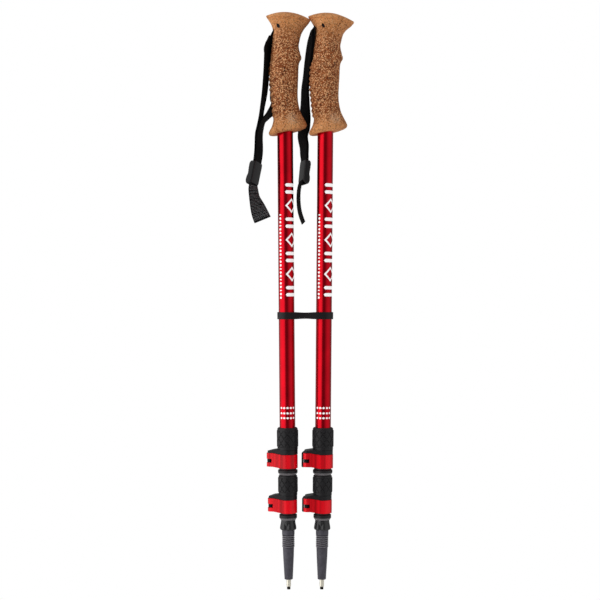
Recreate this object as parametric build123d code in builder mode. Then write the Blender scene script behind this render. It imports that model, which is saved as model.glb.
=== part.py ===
"""A pair of three-section trekking poles, collapsed and tied together for carrying.

Each pole has a cork grip with a webbing wrist strap, an 18 mm upper tube, a 16 mm middle tube and a 14 mm lower
tube that slide into each other, a lever clamp at each slide, and a plastic ferrule with a carbide tip. Heights
along a pole are measured from the end of its tip. X points to the front of the grips, Y is across them, and the
origin lies midway between the two upper tubes, just under the grips, where a hand carries the pair.
"""

from build123d import *
import os
from math import atan, cos, sin

os.makedirs("parts", exist_ok=True)

# How the two poles lie together, in millimetres.
hold_height = 518.0
tip_spacing = 37.7
spacing_per_mm = 0.0161

# Tubes: outer radii, bores and heights of their ends.
upper_r = 9.0
upper_bore_r = 8.1
upper_top = 636.0
middle_r = 8.0
middle_bore_r = 7.1
middle_top = 565.0
lower_r = 7.0
lower_bore_r = 6.2
lower_bottom = 66.0
lower_top = 485.0
running_gap = 0.05
bushing_stem = 12.0
bushing_head = 6.0
plug_head = 3.0

# Grip: height, rear edge, front edge and half depth of each section.
grip_sections = (
    (519.6, -13.5, 8.0, 10.0),
    (521.5, -17.8, 15.5, 15.0),
    (525.0, -18.2, 21.0, 17.3),
    (530.5, -15.2, 24.6, 17.8),
    (537.5, -13.4, 21.5, 16.4),
    (547.0, -14.0, 17.2, 15.2),
    (560.0, -15.4, 15.0, 15.0),
    (587.0, -17.4, 14.2, 16.0),
    (600.0, -16.7, 15.0, 15.8),
    (607.5, -15.8, 17.8, 15.5),
    (616.0, -14.8, 15.5, 15.2),
    (626.0, -13.8, 15.5, 15.3),
    (637.0, -13.0, 18.5, 16.2),
    (642.2, -13.7, 20.8, 16.8),
    (646.6, -15.2, 26.2, 17.4),
    (650.4, -17.4, 30.3, 17.8),
    (655.3, -20.3, 23.0, 16.2),
    (658.4, -12.5, 13.5, 10.5),
    (659.9, -4.0, 5.0, 3.5),
)

# Wrist strap: webbing, pin, slot and buckle.
web_width = 20.0
web_thickness = 1.6
strand_gap = 1.8
fold_length = 2.0
strap_pin_x = -7.4
strap_pin_height = 644.8
strap_pin_r = 1.5
strap_pin_length = 24.4
slot_width = 22.0
slot_height = 3.6
slot_reach = 14.0
anchor_width = 19.0
anchor_thickness = 3.0
anchor_wall = 1.1
buckle_length = 26.0
buckle_width = 25.0
buckle_channel = 4.6
buckle_back_wall = 1.0
buckle_front_wall = 3.2
buckle_corner = 1.2
buckle_lip_length = 3.0
buckle_lip_height = 1.2
buckle_lip_inset = 3.0
pin_clearance = 0.3

# Lever clamps, each in its own frame: the split ring round the sliding tube, with the ears towards -X.
ring_wall = 1.8
lever_gap = 0.15
ear_back = 8.0
ear_front = -4.1
ear_reach = 12.2
ear_foot = 2.2
ear_corner = 1.5
slit_width = 2.0
slit_roof = 1.0
flange_inset = 0.3
flange_step = 2.8
flange_rise = 0.4
flange_fall = 1.6
flange_end_r = 2.5
flange_pin_r = 3.2
flange_round = 1.5
sleeve_chamfer = 1.1
lip_rise = 2.6
lip_step = 0.8
cam_r = 4.3
lever_pin_y = -9.4
lever_pin_r = 1.5
lever_pin_reach = 5.6
lever_wall = 1.85
arm_thickness = 2.3
wrap_end = 9.0
fork_gap = 4.4
eye_height = 3.8
eye_r = 2.9
bolt_r = 2.1
shank_r = 1.85
bolt_end = 13.2
plate_thickness = 1.0
nut_height = 4.0
nut_r = 4.2
lever_drop = 5.5
lever_jog = 2.0
jog_start = 4.0
jog_end = 16.0
fork_depth = 3.2
plate_length = 9.0
beyond = 40.0

# Tip: ferrule, basket collar, steel holder and carbide.
neck_r = 7.2
neck_low = 62.5
neck_high = 68.5
rib_count = 5
rib_pitch = 2.4
rib_r = 7.05
rib_root_r = 6.45
socket_r = 7.9
socket_top = 76.0
ferrule_low = 11.6
ferrule_low_r = 4.75
ferrule_bend = 38.0
ferrule_bend_r = 6.1
holder_r = 2.5
holder_low = 3.1
holder_top = 24.0
carbide_r = 1.95
carbide_seat = 9.0
collar_top = 79.5
collar_top_r = 8.2
collar_low_r = 9.45
collar_edge = 0.8
collar_rim = 1.4
dimple_count = 6
dimple_r = 2.0
dimple_depth = 0.9
dimple_low = 4.0

# Tie: a rubber band round both upper tubes.
tie_height = 309.0
tie_width = 8.2
tie_thickness = 1.5
tie_gap = 0.1

lean = atan(spacing_per_mm / 2)
sides = {"left": -1, "right": 1}


class Clamp:
    """The sizes of one lever clamp, which grips a tube that slides in a larger one."""

    def __init__(self, name, bore_r, tube_r, sleeve_r, lip_r, lip_low, ring_low, lever_low, ring_top, top):
        self.name = name
        self.bore_r = bore_r + running_gap
        self.tube_r = tube_r
        self.sleeve_r = sleeve_r
        self.lip_r = lip_r
        self.lip_low = lip_low
        self.ring_low = ring_low
        self.lever_low = lever_low
        self.ring_top = ring_top
        self.top = top
        self.ring_r = bore_r + ring_wall
        self.wrap_r = self.ring_r + lever_gap + lever_wall
        self.pin_x = -self.wrap_r - lever_pin_reach
        self.ear_x = -self.wrap_r - ear_reach
        self.lever_top = ring_top - lever_drop
        self.bolt_height = (self.lever_low + self.lever_top + lever_jog) / 2

    def jog(self, height):
        """The lever's edge at a height, which steps up by the jog towards its pin."""
        return (self.pin_x + jog_start, height + lever_jog), (self.pin_x + jog_end, height)


upper_clamp = Clamp("upper", middle_r, upper_r, 11.65, 11.2, 131.3, 137.4, 139.1, 160.0, 185.2)
lower_clamp = Clamp("lower", lower_r, middle_r, 10.7, 10.1, 79.8, 86.4, 87.9, 108.3, 131.0)
middle_bottom = lower_clamp.ring_top
yaws = {"left": -24, "right": -6}


def pole_plane(side):
    """The frame of one pole: the centre of its tip's end, with Z up its tubes."""
    return Plane(
        origin=(side * tip_spacing / 2, 0, -hold_height),
        x_dir=(cos(lean), 0, -side * sin(lean)),
        z_dir=(side * sin(lean), 0, cos(lean)),
    )


def upright(plane):
    """The plane through a frame's axis that faces -Y: its X is the frame's X, its Y the frame's Z."""
    return Plane(origin=plane.origin, x_dir=plane.x_dir, z_dir=-plane.y_dir)


def turned(plane, angle):
    """The same frame turned about its own Z."""
    return Plane(origin=plane.origin, x_dir=plane.x_dir.rotate(long_axis(plane), angle), z_dir=plane.z_dir)


def long_axis(plane):
    return Axis(plane.origin, plane.z_dir)


def tube(pole, low, high, outer_r, bore_r):
    with BuildPart() as pipe:
        with BuildSketch(pole.offset(low)):
            Circle(outer_r)
            Circle(bore_r, mode=Mode.SUBTRACT)
        extrude(amount=high - low)
    return pipe


def end_plug(pole, tube_top, stem_r, head_r, head):
    """A plug with its stem in the top of a tube and its head on the tube's end."""
    with BuildPart() as plug:
        with BuildSketch(pole.offset(tube_top - bushing_stem)):
            Circle(stem_r)
        extrude(amount=bushing_stem)
        with BuildSketch(pole.offset(tube_top)):
            Circle(head_r)
        extrude(amount=head)
    return plug


def grip(pole, mouth):
    """The cork grip, bored for the tube, with a slot in its palm side for the strap and a hole for its pin."""
    pin = Vector(strap_pin_x, strap_pin_height)
    with BuildPart() as cork:
        for height, rear, front, half_depth in grip_sections:
            with BuildSketch(pole.offset(height)):
                with Locations(((rear + front) / 2, 0)):
                    Ellipse((front - rear) / 2, half_depth)
        loft(ruled=True)
        with BuildSketch(pole.offset(grip_sections[0][0] - 1)):
            Circle(upper_r)
        extrude(amount=upper_top + plug_head - grip_sections[0][0] + 1, mode=Mode.SUBTRACT)
        with BuildSketch(upright(pole)):
            with Locations(pin):
                Circle(strap_pin_r + anchor_wall + pin_clearance)
            with BuildLine():
                run = Line(pin, Vector(*mouth) + (Vector(*mouth) - pin).normalized() * slot_reach)
            trace(run, line_width=slot_height)
        extrude(amount=slot_width / 2, both=True, mode=Mode.SUBTRACT)
        with BuildSketch(upright(pole)):
            with Locations((strap_pin_x, strap_pin_height)):
                Circle(strap_pin_r)
        extrude(amount=beyond, both=True, mode=Mode.SUBTRACT)
    return cork


def strap_pin(pole):
    with BuildPart() as pin:
        with BuildSketch(upright(pole)):
            with Locations((strap_pin_x, strap_pin_height)):
                Circle(strap_pin_r)
        extrude(amount=strap_pin_length / 2, both=True)
    return pin


def strap_anchor(pole, mouth):
    """The strap's end inside the grip: webbing folded round the pin and out to the slot's mouth."""
    with BuildPart() as anchor:
        with BuildSketch(upright(pole)):
            with Locations((strap_pin_x, strap_pin_height)):
                Circle(strap_pin_r + anchor_wall)
            with BuildLine():
                run = Line((strap_pin_x, strap_pin_height), mouth)
            trace(run, line_width=anchor_thickness)
            with Locations((strap_pin_x, strap_pin_height)):
                Circle(strap_pin_r + running_gap, mode=Mode.SUBTRACT)
        extrude(amount=anchor_width / 2, both=True)
    return anchor


def web_planes(pole, route):
    """One plane across the webbing at each point of its route, turned about the run by the point's twist."""
    points = [pole.from_local_coords(Vector(x, y, z)) for x, y, z, _ in route]
    planes = []
    for i, (_, _, _, twist) in enumerate(route):
        run = (points[min(i + 1, len(points) - 1)] - points[max(i - 1, 0)]).normalized()
        across = Vector(0, 1, 0).rotate(Axis.Z, -twist)
        across = (across - run * across.dot(run)).normalized()
        planes.append(Plane(origin=points[i], x_dir=across, z_dir=run))
    return planes


def beside(route, distance):
    """The same route moved along the webbing's normal, for a second strand that lies against the first."""
    moved = []
    for x, y, z, twist in route:
        normal = Vector(1, 0, 0).rotate(Axis.Z, -twist)
        moved.append((x + normal.X * distance, y + normal.Y * distance, z, twist))
    return moved


def webbing(pole, *routes):
    """Flat webbing along each route, joined where two routes share an end."""
    with BuildPart() as web:
        for route in routes:
            planes = web_planes(pole, route)
            sections = []
            for plane in planes:
                with BuildSketch(plane) as section:
                    Rectangle(web_width, web_thickness)
                sections.append(section.sketch)
            loft(sections, ruled=True)
    return web


def joined_ends(pole, web, first, second):
    """Fill the fold between two strands, at each end where they lie apart."""
    with BuildPart() as fold:
        add(web)
        for end in (0, -1):
            a, b = web_planes(pole, first)[end], web_planes(pole, second)[end]
            apart = (a.origin - b.origin).length
            if apart > 0:
                middle = Plane(origin=(a.origin + b.origin) / 2, x_dir=a.x_dir, z_dir=a.z_dir)
                with BuildSketch(middle.offset(-fold_length / 2)):
                    Rectangle(web_width, apart + web_thickness)
                extrude(amount=fold_length)
    return fold


def buckle(plane, outward):
    """A moulded adjuster: a flat sleeve round the webbing, thicker on its outward face, with a lifting lip."""
    inner = -buckle_channel / 2 - buckle_back_wall
    outer = buckle_channel / 2 + buckle_front_wall
    with BuildPart() as body:
        with BuildSketch(plane):
            with Locations((0, outward * (inner + outer) / 2)):
                RectangleRounded(buckle_width, outer - inner, buckle_corner)
            Rectangle(web_width + 1, buckle_channel, mode=Mode.SUBTRACT)
        extrude(amount=buckle_length)
        with BuildSketch(plane.offset(buckle_length - buckle_lip_length)):
            with Locations((0, outward * (outer + buckle_lip_height / 2))):
                Rectangle(buckle_width - 2 * buckle_lip_inset, buckle_lip_height)
        extrude(amount=buckle_lip_length)
    return body


def clamp_body(lock, c):
    """A moulded clamp: a sleeve on the larger tube, a split ring on the sliding one, a flange, two ears and a lip."""
    flange_x = c.ear_x + flange_step + flange_end_r
    with BuildPart() as body:
        with BuildSketch(lock.offset(c.lever_top + flange_inset)):
            Circle(c.wrap_r - flange_inset)
            with Locations((c.pin_x, lever_pin_y)):
                Circle(flange_pin_r)
            with Locations((flange_x, ear_back - flange_end_r), (flange_x, ear_front + flange_end_r)):
                Circle(flange_end_r)
            make_hull()
        extrude(amount=c.ring_top + flange_rise - c.lever_top - flange_inset)
        fillet(body.edges().group_by(long_axis(lock))[-1], flange_round)
        with BuildSketch(upright(lock)):
            with BuildLine():
                Polyline(
                    (-beyond, c.ring_top - flange_fall),
                    (c.ear_x, c.ring_top - flange_fall),
                    (-c.sleeve_r, c.ring_top + flange_rise),
                    (-c.sleeve_r, c.top),
                    (-beyond, c.top),
                    close=True,
                )
            make_face()
            with BuildLine():
                Polyline(
                    (-beyond, c.lever_top + lever_jog + flange_inset),
                    *c.jog(c.lever_top + flange_inset),
                    (0, c.lever_top + flange_inset),
                    (0, c.lever_low),
                    (-beyond, c.lever_low),
                    close=True,
                )
            make_face()
        extrude(amount=beyond, both=True, mode=Mode.SUBTRACT)
        with BuildSketch(upright(lock)):
            with BuildLine():
                Polyline(
                    (0, c.lip_low),
                    (c.bore_r + 1, c.lip_low),
                    (c.lip_r, c.lip_low + lip_rise),
                    (c.lip_r, c.ring_low - lip_step),
                    (c.ring_r, c.ring_low),
                    (c.ring_r, c.ring_top),
                    (c.sleeve_r, c.ring_top),
                    (c.sleeve_r, c.top - sleeve_chamfer),
                    (c.sleeve_r - sleeve_chamfer, c.top),
                    (0, c.top),
                    close=True,
                )
            make_face()
        revolve(axis=long_axis(lock))
        ears_low = c.ring_low + ear_foot
        ears_top = c.lever_top + lever_jog + flange_inset
        with BuildSketch(upright(lock).offset(-ear_back)):
            with Locations(((c.ear_x - c.bore_r) / 2, (ears_low + ears_top) / 2)):
                RectangleRounded(-c.ear_x - c.bore_r, ears_top - ears_low, ear_corner)
        extrude(amount=ear_back - ear_front)
        with BuildSketch(lock.offset(c.lip_low)):
            Circle(c.bore_r)
        extrude(amount=c.ring_top - c.lip_low, mode=Mode.SUBTRACT)
        with BuildSketch(lock.offset(c.ring_top)):
            Circle(c.tube_r)
        extrude(amount=c.top - c.ring_top, mode=Mode.SUBTRACT)
        with BuildSketch(lock.offset(c.lip_low)):
            with Locations((-beyond / 2, 0)):
                Rectangle(beyond, slit_width)
        extrude(amount=c.ring_top - slit_roof - c.lip_low, mode=Mode.SUBTRACT)
        with BuildSketch(upright(lock)):
            with Locations((c.pin_x, c.bolt_height)):
                Circle(bolt_r)
        extrude(amount=beyond, both=True, mode=Mode.SUBTRACT)
    return body


def clamp_bolt(lock, c):
    """The tension bolt: an eye round the lever's pin and a shank through both ears."""
    with BuildPart() as bolt:
        with BuildSketch(lock.offset(c.bolt_height - eye_height / 2)):
            with Locations((c.pin_x, lever_pin_y)):
                Circle(eye_r)
        extrude(amount=eye_height)
        shank = Plane(lock.from_local_coords(Vector(c.pin_x, lever_pin_y, c.bolt_height)), lock.x_dir, lock.y_dir)
        with BuildSketch(shank):
            Circle(shank_r)
        extrude(amount=bolt_end - lever_pin_y)
        with BuildSketch(lock.offset(c.bolt_height - eye_height / 2)):
            with Locations((c.pin_x, lever_pin_y)):
                Circle(lever_pin_r + running_gap)
        extrude(amount=eye_height, mode=Mode.SUBTRACT)
    return bolt


def pressure_plate(lock, c):
    """The steel plate that the lever's cam bears on."""
    face = Plane(lock.from_local_coords(Vector(c.pin_x, ear_front, c.bolt_height)), lock.x_dir, -lock.y_dir)
    with BuildPart() as plate:
        with BuildSketch(face):
            RectangleRounded(plate_length, c.lever_top - c.lever_low - 2, 1)
            Circle(bolt_r, mode=Mode.SUBTRACT)
        extrude(amount=plate_thickness)
    return plate


def clamp_nut(lock, c):
    """The hexagonal nut on the bolt's far end, which sets the clamp's tension."""
    seat = Plane(lock.from_local_coords(Vector(c.pin_x, ear_back + running_gap, c.bolt_height)), lock.x_dir, lock.y_dir)
    with BuildPart() as nut:
        with BuildSketch(seat):
            RegularPolygon(nut_r, 6)
            Circle(shank_r + running_gap, mode=Mode.SUBTRACT)
        extrude(amount=nut_height)
    return nut


def lever(lock, c):
    """The lever: a forked cam round the pin, a flat arm, and a shell that wraps the front of the ring."""
    with BuildPart() as arm:
        with BuildSketch(lock.offset(c.lever_low)):
            with Locations((c.pin_x, lever_pin_y)):
                Circle(cam_r)
            Circle(c.wrap_r)
            make_hull()
            Circle(c.ring_r + lever_gap, mode=Mode.SUBTRACT)
            inner_y = lever_pin_y - cam_r + arm_thickness
            with BuildLine():
                Polyline(
                    (-beyond, inner_y),
                    (c.pin_x, inner_y),
                    (-2, -c.ring_r + 0.1),
                    (0, 0),
                    Vector(beyond, 0).rotate(Axis.Z, wrap_end),
                    (beyond, beyond),
                    (-beyond, beyond),
                    close=True,
                )
            make_face(mode=Mode.SUBTRACT)
            with Locations((c.pin_x, lever_pin_y)):
                Circle(cam_r)
        extrude(amount=c.lever_top + lever_jog - c.lever_low)
        with BuildSketch(upright(lock)):
            with BuildLine():
                Polyline(*c.jog(c.lever_top), (beyond, c.lever_top), (beyond, c.top), close=True)
            make_face()
            with BuildLine():
                Polyline((-beyond, c.lever_low + lever_jog), *c.jog(c.lever_low), (-beyond, c.lip_low), close=True)
            make_face()
            with Locations((c.pin_x + fork_depth - beyond / 2, c.bolt_height)):
                Rectangle(beyond, fork_gap)
        extrude(amount=beyond, both=True, mode=Mode.SUBTRACT)
        with BuildSketch(lock.offset(c.lever_low)):
            with Locations((c.pin_x, lever_pin_y)):
                Circle(lever_pin_r)
        extrude(amount=beyond, mode=Mode.SUBTRACT)
    return arm


def lever_pin(lock, c):
    with BuildPart() as pin:
        with BuildSketch(lock.offset(c.lever_low + lever_jog + pin_clearance)):
            with Locations((c.pin_x, lever_pin_y)):
                Circle(lever_pin_r)
        extrude(amount=c.lever_top - c.lever_low - 2 * pin_clearance)
    return pin


def ferrule(pole):
    """The plastic tip: a socket on the lower tube, a neck where a basket seats, five ribs and a long taper."""
    ribs_low = neck_low - rib_count * rib_pitch
    with BuildPart() as body:
        with BuildSketch(upright(pole)):
            with BuildLine():
                Polyline(
                    (0, ferrule_low),
                    (ferrule_low_r, ferrule_low),
                    (ferrule_bend_r, ferrule_bend),
                    (rib_root_r, ribs_low),
                    (rib_root_r, neck_low),
                    (neck_r, neck_low),
                    (neck_r, neck_high),
                    (socket_r, neck_high),
                    (socket_r, socket_top),
                    (0, socket_top),
                    close=True,
                )
            make_face()
        revolve(axis=long_axis(pole))
        for i in range(rib_count):
            with BuildSketch(pole.offset(ribs_low + i * rib_pitch)):
                Circle(rib_r)
            extrude(amount=rib_pitch / 2)
        with BuildSketch(pole.offset(lower_bottom)):
            Circle(lower_r)
        extrude(amount=socket_top - lower_bottom, mode=Mode.SUBTRACT)
        with BuildSketch(pole.offset(ferrule_low)):
            Circle(holder_r)
        extrude(amount=holder_top - ferrule_low, mode=Mode.SUBTRACT)
    return body


def basket_collar(pole):
    """The flared collar above the neck, closed round the tube, with six dimples for a grip."""
    with BuildPart() as collar:
        with BuildSketch(upright(pole)):
            with BuildLine():
                Polyline(
                    (lower_r + running_gap, collar_top),
                    (collar_top_r - collar_edge, collar_top),
                    (collar_top_r, collar_top - collar_edge),
                    (collar_low_r, neck_high + collar_rim),
                    (collar_low_r - collar_edge, neck_high),
                    (socket_r, neck_high),
                    (socket_r, socket_top),
                    (lower_r + running_gap, socket_top),
                    close=True,
                )
            make_face()
        revolve(axis=long_axis(pole))
        with BuildSketch(pole.offset(neck_high + dimple_low)):
            with PolarLocations(collar_low_r + dimple_r - dimple_depth, dimple_count, start_angle=30):
                Circle(dimple_r)
        extrude(amount=collar_top - neck_high, mode=Mode.SUBTRACT)
    return collar


def tip_holder(pole):
    with BuildPart() as holder:
        with BuildSketch(pole.offset(holder_low)):
            Circle(holder_r)
        extrude(amount=holder_top - holder_low)
        chamfer(holder.edges().sort_by(long_axis(pole))[0], 0.4)
        with BuildSketch(pole.offset(holder_low)):
            Circle(carbide_r)
        extrude(amount=carbide_seat - holder_low, mode=Mode.SUBTRACT)
    return holder


def carbide_tip(pole):
    """The carbide insert, with a cupped end that bites into rock."""
    with BuildPart() as tip:
        with BuildSketch(pole):
            Circle(carbide_r)
        extrude(amount=carbide_seat)
        with BuildSketch(upright(pole)):
            with BuildLine():
                Polyline((0, -1), (carbide_r - 0.4, 0), (0, 0.9), close=True)
            make_face()
        revolve(axis=long_axis(pole), mode=Mode.SUBTRACT)
    return tip


def tie_band():
    """The band that holds the two poles together, drawn in where it spans the gap between the tubes."""
    centre = (tip_spacing + spacing_per_mm * (tie_height + tie_width / 2)) / 2
    inner_r = upper_r + tie_gap
    with BuildPart() as band:
        with BuildSketch(Plane.XY.offset(tie_height - hold_height)):
            with Locations((-centre, 0), (centre, 0)):
                Circle(inner_r + tie_thickness)
            make_hull()
            with BuildSketch(mode=Mode.SUBTRACT):
                with Locations((-centre, 0), (centre, 0)):
                    Circle(inner_r)
                make_hull()
        extrude(amount=tie_width)
    return band


# Each strap's mouth on its grip, and the routes of its strands, tail and buckle: x, y, height and twist.
strap_mouth = {"left": (-14.0, 635.6), "right": (-14.6, 642.2)}
outer_strand = {
    "left": (
        (-16.8, 0, 632.0, 10),
        (-18.0, -0.5, 624, 13),
        (-19.5, -1, 605, 14),
        (-20.5, -1, 590, 14),
        (-22.3, -1, 571, 14),
        (-26.3, 0, 550, 10),
        (-29.5, 2, 530, 14),
        (-30.8, 2.5, 502, 16),
        (-32.4, 2, 488, 16),
        (-36.0, 1.5, 470, 16),
    ),
    "right": (
        (-17.0, 0.2, 635.2, -8),
        (-19.5, 1, 622, -9),
        (-21.5, 2.5, 605, -9),
        (-23.2, 5, 588, -11),
        (-24.3, 8.5, 573, -14),
        (-24.2, 12, 556, -20),
        (-24.6, 14.5, 541, -32),
        (-26.0, 15, 528, -36),
        (-26.6, 12.5, 516, -24),
        (-25.2, 10, 503, -19),
        (-25.0, 9, 490, -16),
        (-27.4, 8.5, 472, -16),
    ),
}
inner_strand = {
    "left": (
        (-16.8, 0, 632.0, 10),
        (-17.3, 0.3, 629.5, 14),
        (-17.8, 5, 621, 30),
        (-14.5, 12.5, 611, 55),
        (-9.5, 17.6, 600, 80),
        (-6.5, 18.6, 585, 88),
        (-8.0, 17.8, 570, 70),
        (-12.4, 14.4, 556, 32),
        (-16.4, 9.5, 548, 16),
        (-20.6, 6, 539.5, 12),
        (-24.4, 3.5, 533.5, 12),
        (-27.2, 1.8, 526, 14),
        (-28.8, 2, 502, 16),
        (-30.4, 1.5, 488, 16),
        (-34.0, 1.0, 470, 16),
    ),
    "right": beside(outer_strand["right"], strand_gap),
}
strap_tail = {
    "left": (
        (-35.6, 1.2, 466.4, 18),
        (-36.4, 1, 458, 28),
        (-34.6, 0.5, 447, 38),
        (-30.6, 0, 436, 60),
        (-25.1, 0, 422.6, 80),
    ),
    "right": (
        (-27.4, 8.2, 469.2, -14),
        (-29.4, 8, 460, -11),
        (-30.2, 7.5, 449, -10),
        (-29.3, 7, 436, -10),
        (-24.3, 6.5, 419.5, -10),
    ),
}
buckle_turns = {"left": -1, "right": 1}


def build_strap(name, pole):
    outer, inner, tail = outer_strand[name], inner_strand[name], strap_tail[name]
    loop = joined_ends(pole, webbing(pole, outer, inner).part, outer, inner)
    loop.part.label = f"{name}_strap_loop"
    export_step(loop.part, f"parts/{name}_strap_loop.step")
    loose = webbing(pole, tail)
    loose.part.label = f"{name}_strap_tail"
    export_step(loose.part, f"parts/{name}_strap_tail.step")
    ends = [(web_planes(pole, outer)[i].origin + web_planes(pole, inner)[i].origin) / 2 for i in (-2, -1)]
    run = (ends[1] - ends[0]).normalized()
    start = Plane(origin=ends[0] - run, x_dir=web_planes(pole, outer)[-1].x_dir, z_dir=run)
    adjuster = buckle(start, buckle_turns[name])
    adjuster.part.label = f"{name}_strap_buckle"
    export_step(adjuster.part, f"parts/{name}_strap_buckle.step")


def build_clamp(name, pole, c):
    lock = turned(pole, yaws[name])
    pieces = {
        "clamp": clamp_body(lock, c),
        "clamp_bolt": clamp_bolt(lock, c),
        "pressure_plate": pressure_plate(lock, c),
        "clamp_nut": clamp_nut(lock, c),
        "lever": lever(lock, c),
        "lever_pin": lever_pin(lock, c),
    }
    for kind, piece in pieces.items():
        piece.part.label = f"{name}_{c.name}_{kind}"
        export_step(piece.part, f"parts/{name}_{c.name}_{kind}.step")


def build_pole(name, side):
    pole = pole_plane(side)
    pieces = {
        "grip": grip(pole, strap_mouth[name]),
        "strap_pin": strap_pin(pole),
        "strap_anchor": strap_anchor(pole, strap_mouth[name]),
        "upper_tube": tube(pole, upper_clamp.ring_top, upper_top, upper_r, upper_bore_r),
        "tube_plug": end_plug(pole, upper_top, upper_bore_r, upper_r, plug_head),
        "middle_tube": tube(pole, middle_bottom, middle_top, middle_r, middle_bore_r),
        "middle_bushing": end_plug(pole, middle_top, middle_bore_r, upper_bore_r - running_gap, bushing_head),
        "lower_tube": tube(pole, lower_bottom, lower_top, lower_r, lower_bore_r),
        "lower_bushing": end_plug(pole, lower_top, lower_bore_r, middle_bore_r - running_gap, bushing_head),
        "tip_ferrule": ferrule(pole),
        "basket_collar": basket_collar(pole),
        "tip_holder": tip_holder(pole),
        "carbide_tip": carbide_tip(pole),
    }
    for kind, piece in pieces.items():
        piece.part.label = f"{name}_{kind}"
        export_step(piece.part, f"parts/{name}_{kind}.step")
    build_strap(name, pole)
    build_clamp(name, pole, upper_clamp)
    build_clamp(name, pole, lower_clamp)


for name, side in sides.items():
    build_pole(name, side)

tie = tie_band()
tie.part.label = "tie_band"
export_step(tie.part, "parts/tie_band.step")
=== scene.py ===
"""The looks of a pair of collapsed trekking poles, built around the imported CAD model.

Lengths are in millimetres in a pole's own frame, whose origin is the centre of its tip's end and whose Z
runs up its tubes. Pole.place turns them into metres in the model's frame, where every mesh is made.
"""

import math

import bmesh
import bpy
from mathutils import Matrix, Vector, noise


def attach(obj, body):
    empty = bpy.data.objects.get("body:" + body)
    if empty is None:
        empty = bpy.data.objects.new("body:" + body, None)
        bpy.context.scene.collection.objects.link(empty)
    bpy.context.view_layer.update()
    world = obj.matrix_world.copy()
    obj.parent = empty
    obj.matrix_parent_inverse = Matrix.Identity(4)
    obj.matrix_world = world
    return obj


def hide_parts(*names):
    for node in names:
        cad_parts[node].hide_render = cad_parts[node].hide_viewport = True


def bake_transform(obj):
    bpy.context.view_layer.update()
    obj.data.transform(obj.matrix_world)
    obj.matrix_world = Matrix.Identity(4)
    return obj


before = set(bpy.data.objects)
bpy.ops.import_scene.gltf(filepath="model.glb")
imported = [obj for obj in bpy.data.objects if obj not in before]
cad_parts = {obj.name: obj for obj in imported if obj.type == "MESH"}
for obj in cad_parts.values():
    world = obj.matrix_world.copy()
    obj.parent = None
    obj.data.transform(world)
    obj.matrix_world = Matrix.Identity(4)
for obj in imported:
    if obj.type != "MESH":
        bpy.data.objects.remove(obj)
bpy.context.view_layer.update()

MM = 0.001
HOLD_HEIGHT = 518.0
TIP_SPACING = 37.7
SPACING_PER_MM = 0.0161
LEAN = math.atan(SPACING_PER_MM / 2)

TUBE_R = 9.0
WEB_WIDTH = 20.0
WEB_THICKNESS = 1.6
SHARP_ANGLE = math.radians(40)


class Pole:
    """One pole's frame, from millimetres up its tubes to metres in the model."""

    def __init__(self, name, side):
        self.name = name
        tilt = side * math.sin(LEAN)
        axes = Matrix(((math.cos(LEAN), 0, tilt), (0, 1, 0), (-tilt, 0, math.cos(LEAN)))).to_4x4()
        origin = Matrix.Translation((side * TIP_SPACING / 2 * MM, 0, -HOLD_HEIGHT * MM))
        self.matrix = origin @ axes @ Matrix.Scale(MM, 4)

    def place(self, x, y, z):
        """A point in the pole's millimetres, in the model's metres."""
        return self.matrix @ Vector((x, y, z))


POLES = {"left": Pole("left", -1), "right": Pole("right", 1)}


def body_of(pole, section):
    """The body that carries a section: both poles' upper sections are one, the rest are each pole's own."""
    return section if section == "upper_sections" else f"{pole.name}_{section}"


# Meshes


def smoothstep(low, high, value):
    """0 below low, 1 above high, and a smooth rise between."""
    t = min(max((value - low) / (high - low), 0.0), 1.0)
    return t * t * (3 - 2 * t)


def spline(p, q, r, s, t):
    """A value between q and r on the smooth curve through four values."""
    bend = 2 * p - 5 * q + 4 * r - s
    twist = 3 * q - p - 3 * r + s
    return 0.5 * (2 * q + (r - p) * t + bend * t**2 + twist * t**3)


def curve_through(points, step):
    """Points on a smooth curve through the given ones, about step apart by their first three values."""
    found = []
    last = len(points) - 1
    for i in range(last):
        around = [points[min(max(k, 0), last)] for k in (i - 1, i, i + 1, i + 2)]
        count = max(1, math.ceil(math.dist(around[1][:3], around[2][:3]) / step))
        for k in range(count):
            found.append(tuple(spline(*values, k / count) for values in zip(*around)))
    found.append(tuple(points[-1]))
    return found


def turns(count):
    """The angles of a ring's points, in radians."""
    return [2 * math.pi * i / count for i in range(count)]


def circle(radius, z, count):
    """A level ring round a pole's axis."""
    return [(radius * math.cos(a), radius * math.sin(a), z) for a in turns(count)]


def finished(name, mesh, material, body):
    """The mesh as a smooth piece that rides on a body."""
    piece = bpy.data.objects.new(name, mesh)
    bpy.context.scene.collection.objects.link(piece)
    mesh.materials.append(material)
    mesh.shade_smooth()
    mesh.set_sharp_from_angle(angle=SHARP_ANGLE)
    if body:
        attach(piece, body)
    return piece


def rings_mesh(name, place, rings, closed=False):
    """A skin of quads over rings of points: capped at both ends, or closed from last ring to first."""
    shape = bmesh.new()
    rows = [[shape.verts.new(place(*point)) for point in ring] for ring in rings]
    pairs = list(zip(rows, rows[1:])) + ([(rows[-1], rows[0])] if closed else [])
    for low, high in pairs:
        for i in range(len(low)):
            k = (i + 1) % len(low)
            shape.faces.new((low[i], low[k], high[k], high[i]))
    if not closed:
        shape.faces.new(rows[0][::-1])
        shape.faces.new(rows[-1])
    bmesh.ops.recalc_face_normals(shape, faces=shape.faces)
    mesh = bpy.data.meshes.new(name)
    shape.to_mesh(mesh)
    shape.free()
    return mesh


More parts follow.
